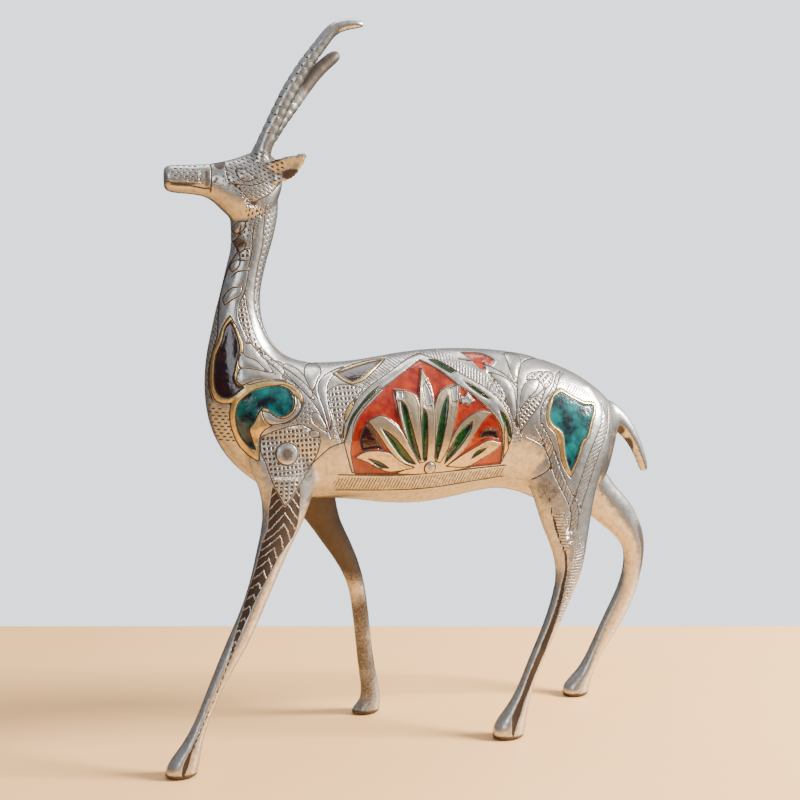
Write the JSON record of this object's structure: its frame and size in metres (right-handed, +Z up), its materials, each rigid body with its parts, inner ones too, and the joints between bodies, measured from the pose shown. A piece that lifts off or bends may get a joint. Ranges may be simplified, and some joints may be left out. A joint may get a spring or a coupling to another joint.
{
  "type": "deer figurine",
  "caption": "Slim walking stag with raised head and long ringed horns, cast in white metal, engraved and inlaid with coloured enamel; stands on its hooves.",
  "frame": {"origin": "centre of the figure's outer box, at the height of its soles", "axes": "+Z up, the head towards -X, the deer's left flank towards -Y"},
  "size_m": [0.2338, 0.0634, 0.3046],
  "materials": {
    "white_metal": "polished cast white metal, engraved, the cuts darkened, cells filled with clear coloured enamel"
  },
  "bodies": {
    "root": {"deer": "white_metal"}
  },
  "joints": []
}
